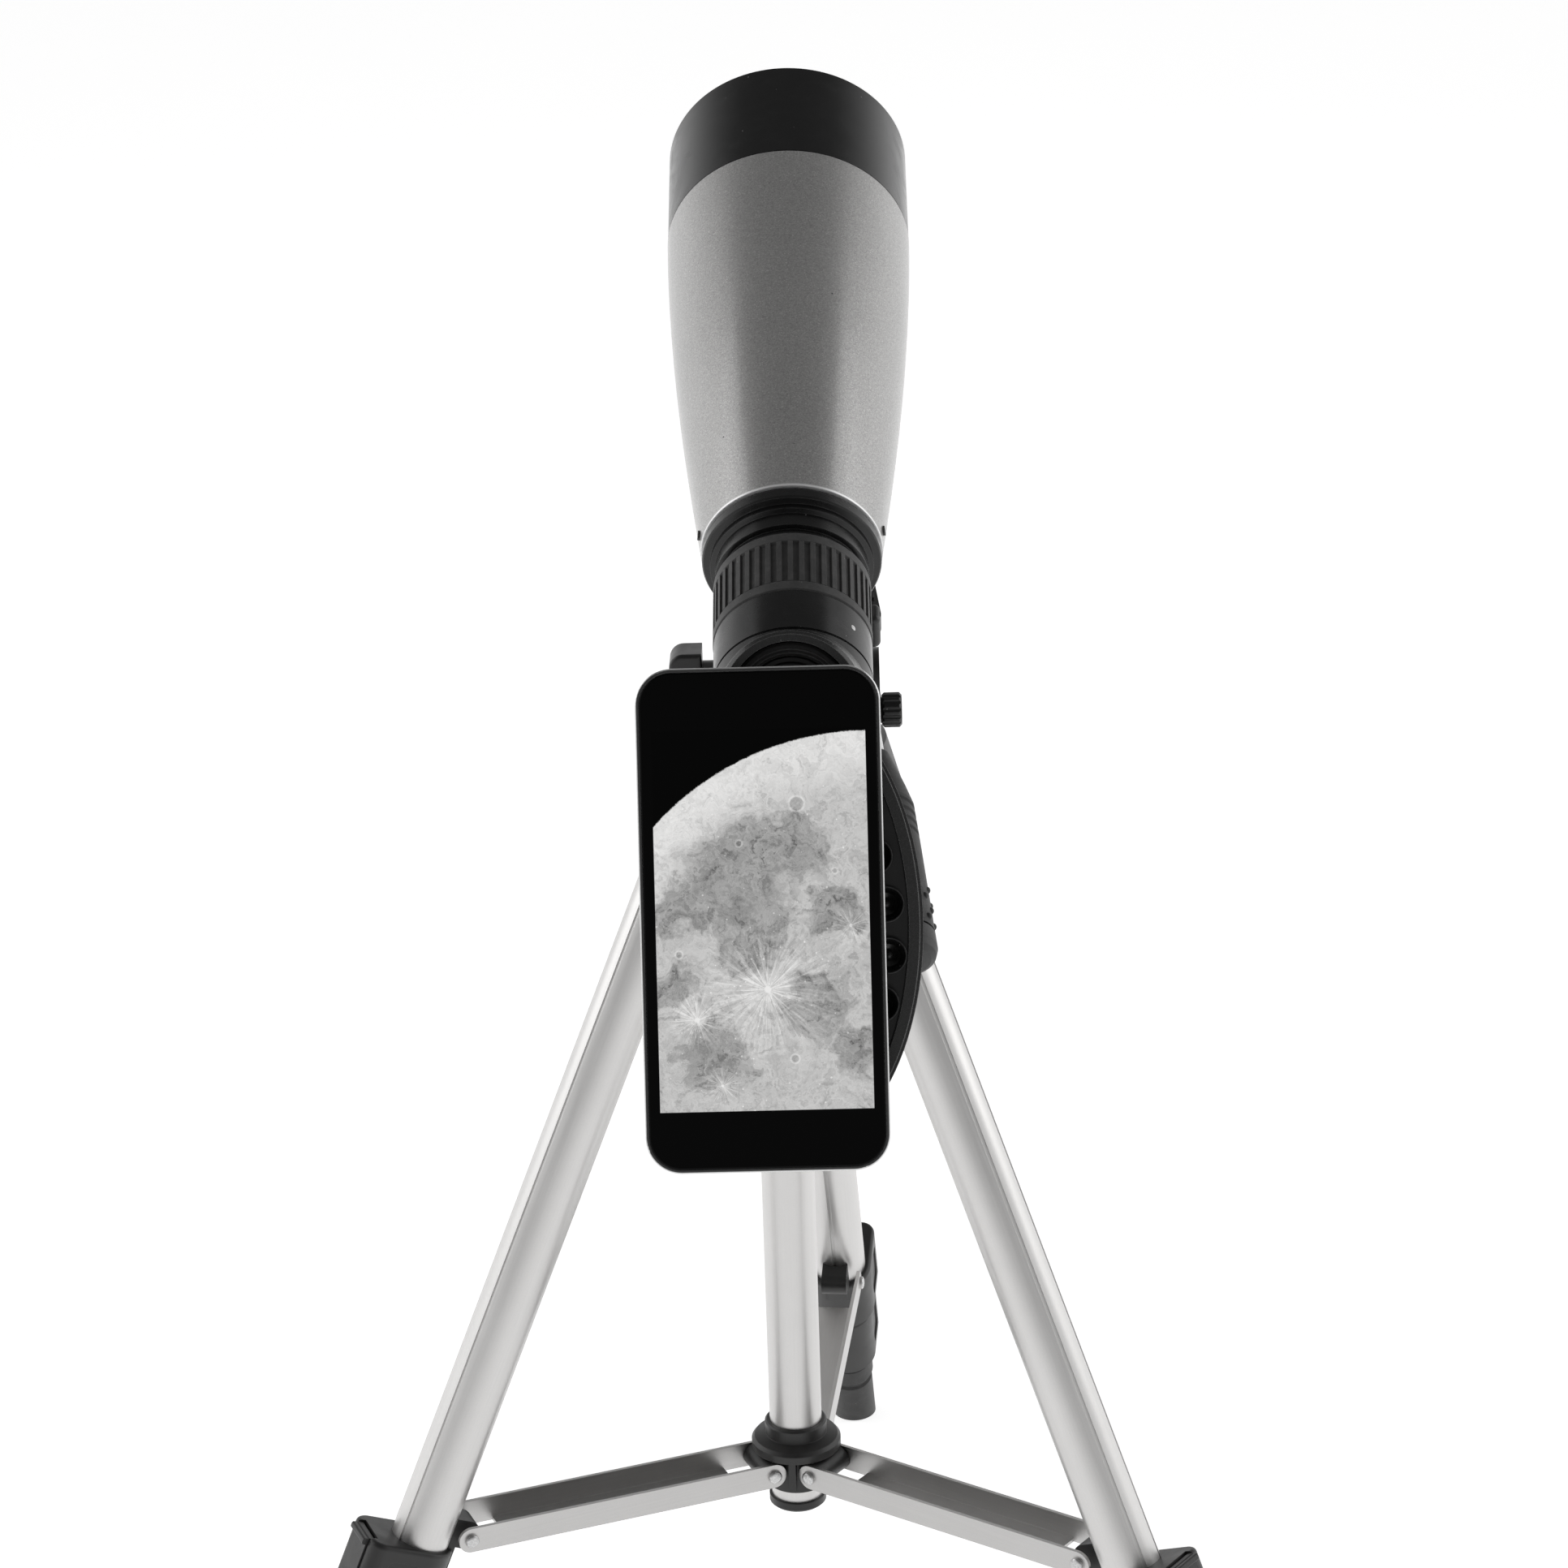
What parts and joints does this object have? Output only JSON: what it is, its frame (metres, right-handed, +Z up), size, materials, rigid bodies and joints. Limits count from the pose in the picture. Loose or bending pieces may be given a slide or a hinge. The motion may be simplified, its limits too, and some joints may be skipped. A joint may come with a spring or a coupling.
{
  "type": "spotting scope",
  "caption": "Angled spotting scope on a small tripod with a pan handle, a sliding lens hood and an oval suction-cup adapter holding a phone at the eyepiece.",
  "frame": {"origin": "on the floor, under the axis of the tripod's centre column", "axes": "+Z up along the column, +Y the way the scope points, +X to the right seen from the eyepiece"},
  "size_m": [0.311, 0.3915, 0.5287],
  "materials": {
    "silver_paint": "metallic silver-grey paint, semi-gloss, fine flake",
    "gloss_black": "gloss black moulded plastic",
    "black_plastic": "satin dark grey moulded plastic",
    "rubber": "matte black rubber",
    "aluminium": "satin anodised aluminium",
    "steel": "bright steel fasteners",
    "glass": "coated optical glass",
    "phone_body": "dark metal phone tray, polished",
    "phone_glass": "black glass front"
  },
  "bodies": {
    "root": {"tripod_hub": "black_plastic", "leg_pivot_bolts": "steel", "guide_tube": "aluminium", "column_end_cap": "black_plastic"},
    "leg_back": {"leg_yoke_back": "black_plastic", "leg_upper_tube_back": "aluminium", "leg_upper_clamp_back": "black_plastic"},
    "upper_lever_back": {"leg_upper_lever_back": "black_plastic"},
    "middle_section_back": {"leg_middle_tube_back": "aluminium", "leg_lower_clamp_back": "black_plastic"},
    "lower_lever_back": {"leg_lower_lever_back": "black_plastic"},
    "lower_section_back": {"leg_lower_tube_back": "aluminium", "leg_foot_back": "rubber"},
    "leg_left": {"leg_yoke_left": "black_plastic", "leg_upper_tube_left": "aluminium", "leg_upper_clamp_left": "black_plastic"},
    "upper_lever_left": {"leg_upper_lever_left": "black_plastic"},
    "middle_section_left": {"leg_middle_tube_left": "aluminium", "leg_lower_clamp_left": "black_plastic"},
    "lower_lever_left": {"leg_lower_lever_left": "black_plastic"},
    "lower_section_left": {"leg_lower_tube_left": "aluminium", "leg_foot_left": "rubber"},
    "leg_right": {"leg_yoke_right": "black_plastic", "leg_upper_tube_right": "aluminium", "leg_upper_clamp_right": "black_plastic"},
    "upper_lever_right": {"leg_upper_lever_right": "black_plastic"},
    "middle_section_right": {"leg_middle_tube_right": "aluminium", "leg_lower_clamp_right": "black_plastic"},
    "lower_lever_right": {"leg_lower_lever_right": "black_plastic"},
    "lower_section_right": {"leg_lower_tube_right": "aluminium", "leg_foot_right": "rubber"},
    "spider": {"brace_spider": "black_plastic"},
    "brace_back": {"brace_back": "aluminium"},
    "brace_left": {"brace_left": "aluminium"},
    "brace_right": {"brace_right": "aluminium"},
    "column_lock": {"column_lock_knob": "black_plastic"},
    "column": {"center_column": "aluminium"},
    "pan_head": {"pan_base": "black_plastic"},
    "handle": {"pan_handle": "black_plastic"},
    "tilt_lock": {"tilt_knob": "black_plastic"},
    "scope": {"tilt_platform": "black_plastic", "camera_screw": "steel", "mounting_foot": "black_plastic", "barrel_shell": "silver_paint", "barrel_screws": "steel", "objective_lens": "glass", "rear_flange": "gloss_black", "prism_housing": "gloss_black", "prism": "glass", "eyepiece_body": "gloss_black", "eyecup": "rubber", "eye_lens": "glass", "adapter_plate": "gloss_black", "suction_pad": "rubber"},
    "hood": {"lens_hood": "gloss_black"},
    "focus": {"focus_ring": "rubber"},
    "zoom": {"zoom_ring": "rubber"},
    "clamp_screw": {"clamp_knob": "gloss_black"},
    "phone": {"phone_case": "phone_body", "phone_glass": "phone_glass"}
  },
  "joints": [
    {"name": "leg_fold_back", "type": "hinge", "parent": "root", "child": "leg_back", "pos_m": [0.00272, 0.02385, 0.325], "axis": [-0.9936, 0.1132, 0], "range_deg": [0, 4]},
    {"name": "upper_lever_flip_back", "type": "hinge", "parent": "leg_back", "child": "upper_lever_back", "pos_m": [0.01786, 0.15673, 0.06961], "axis": [-0.9936, 0.1132, 0], "range_deg": [0, 100]},
    {"name": "lower_lever_flip_back", "type": "hinge", "parent": "middle_section_back", "child": "lower_lever_back", "pos_m": [0.01906, 0.16732, 0.0426], "axis": [-0.9936, 0.1132, 0], "range_deg": [0, 100]},
    {"name": "middle_extend_back", "type": "slide", "parent": "leg_back", "child": "middle_section_back", "axis": [0.0466, 0.4089, -0.9114], "range_m": [0, 0.15]},
    {"name": "lower_extend_back", "type": "slide", "parent": "middle_section_back", "child": "lower_section_back", "axis": [0.0466, 0.4089, -0.9114], "range_m": [0, 0.15]},
    {"name": "leg_fold_left", "type": "hinge", "parent": "root", "child": "leg_left", "pos_m": [-0.02201, -0.00957, 0.325], "axis": [0.3987, -0.9171, 0], "range_deg": [0, 4]},
    {"name": "upper_lever_flip_left", "type": "hinge", "parent": "leg_left", "child": "upper_lever_left", "pos_m": [-0.14466, -0.0629, 0.06961], "axis": [0.3987, -0.9171, 0], "range_deg": [0, 100]},
    {"name": "lower_lever_flip_left", "type": "hinge", "parent": "middle_section_left", "child": "lower_lever_left", "pos_m": [-0.15444, -0.06715, 0.0426], "axis": [0.3987, -0.9171, 0], "range_deg": [0, 100]},
    {"name": "middle_extend_left", "type": "slide", "parent": "leg_left", "child": "middle_section_left", "axis": [-0.3774, -0.1641, -0.9114], "range_m": [0, 0.15]},
    {"name": "lower_extend_left", "type": "slide", "parent": "middle_section_left", "child": "lower_section_left", "axis": [-0.3774, -0.1641, -0.9114], "range_m": [0, 0.15]},
    {"name": "leg_fold_right", "type": "hinge", "parent": "root", "child": "leg_right", "pos_m": [0.01929, -0.01428, 0.325], "axis": [0.5948, 0.8039, 0], "range_deg": [0, 4]},
    {"name": "upper_lever_flip_right", "type": "hinge", "parent": "leg_right", "child": "upper_lever_right", "pos_m": [0.1268, -0.09383, 0.06961], "axis": [0.5948, 0.8039, 0], "range_deg": [0, 100]},
    {"name": "lower_lever_flip_right", "type": "hinge", "parent": "middle_section_right", "child": "lower_lever_right", "pos_m": [0.13537, -0.10017, 0.0426], "axis": [0.5948, 0.8039, 0], "range_deg": [0, 100]},
    {"name": "middle_extend_right", "type": "slide", "parent": "leg_right", "child": "middle_section_right", "axis": [0.3308, -0.2448, -0.9114], "range_m": [0, 0.15]},
    {"name": "lower_extend_right", "type": "slide", "parent": "middle_section_right", "child": "lower_section_right", "axis": [0.3308, -0.2448, -0.9114], "range_m": [0, 0.15]},
    {"name": "spider_slide", "type": "slide", "parent": "root", "child": "spider", "axis": [0, 0, 1], "range_m": [0, 0.0627]},
    {"name": "brace_hinge_back", "type": "hinge", "parent": "spider", "child": "brace_back", "pos_m": [0.00136, 0.01192, 0.078], "axis": [-0.9936, 0.1132, 0], "range_deg": [0, 38.5]},
    {"name": "brace_hinge_left", "type": "hinge", "parent": "spider", "child": "brace_left", "pos_m": [-0.011, -0.00478, 0.078], "axis": [0.3987, -0.9171, 0], "range_deg": [0, 38.5]},
    {"name": "brace_hinge_right", "type": "hinge", "parent": "spider", "child": "brace_right", "pos_m": [0.00965, -0.00714, 0.078], "axis": [0.5948, 0.8039, 0], "range_deg": [0, 38.5]},
    {"name": "column_lock_turn", "type": "hinge", "parent": "root", "child": "column_lock", "pos_m": [-0.02412, 0.01784, 0.3105], "axis": [-0.8039, 0.5948, 0], "range_deg": [0, 360]},
    {"name": "column_raise", "type": "slide", "parent": "root", "child": "column", "axis": [0, 0, 1], "range_m": [0, 0.12]},
    {"name": "pan_turn", "type": "hinge", "parent": "column", "child": "pan_head", "pos_m": [0, 0, 0.345], "axis": [0, 0, 1], "continuous": true},
    {"name": "handle_twist", "type": "hinge", "parent": "pan_head", "child": "handle", "pos_m": [0.0341, -0.05272, 0.33002], "axis": [0.1017, -0.8787, -0.4664], "range_deg": [0, 270]},
    {"name": "tilt_knob_turn", "type": "hinge", "parent": "pan_head", "child": "tilt_lock", "pos_m": [-0.027, 0, 0.357], "axis": [1, 0, 0], "range_deg": [0, 180]},
    {"name": "tilt", "type": "hinge", "parent": "pan_head", "child": "scope", "pos_m": [0.008, 0, 0.357], "axis": [1, 0, 0], "range_deg": [-55, 25]},
    {"name": "hood_slide", "type": "slide", "parent": "scope", "child": "hood", "axis": [0, 0.9063, 0.4226], "range_m": [0, 0.018]},
    {"name": "focus_turn", "type": "hinge", "parent": "scope", "child": "focus", "pos_m": [0.008, -0.07527, 0.40201], "axis": [0, 0.9063, 0.4226], "range_deg": [-160, 160]},
    {"name": "zoom_turn", "type": "hinge", "parent": "scope", "child": "zoom", "pos_m": [0.008, -0.13515, 0.39672], "axis": [0, -0.9397, 0.342], "range_deg": [0, 110]},
    {"name": "clamp_screw_turn", "type": "hinge", "parent": "scope", "child": "clamp_screw", "pos_m": [0.035, -0.1504, 0.40014], "axis": [1, 0, 0], "range_deg": [0, 720]},
    {"name": "phone_pull", "type": "slide", "parent": "scope", "child": "phone", "axis": [0, -0.9397, 0.342], "range_m": [0, 0.08]}
  ],
  "couplings": [
    {"joint": "leg_fold_left", "follows": "leg_fold_back", "ratio": 1},
    {"joint": "leg_fold_right", "follows": "leg_fold_back", "ratio": 1},
    {"joint": "spider_slide", "follows": "leg_fold_back", "m_per_rad": 0.89625},
    {"joint": "brace_hinge_back", "follows": "leg_fold_back", "ratio": 9.5955},
    {"joint": "brace_hinge_left", "follows": "leg_fold_back", "ratio": 9.5955},
    {"joint": "brace_hinge_right", "follows": "leg_fold_back", "ratio": 9.5955}
  ]
}
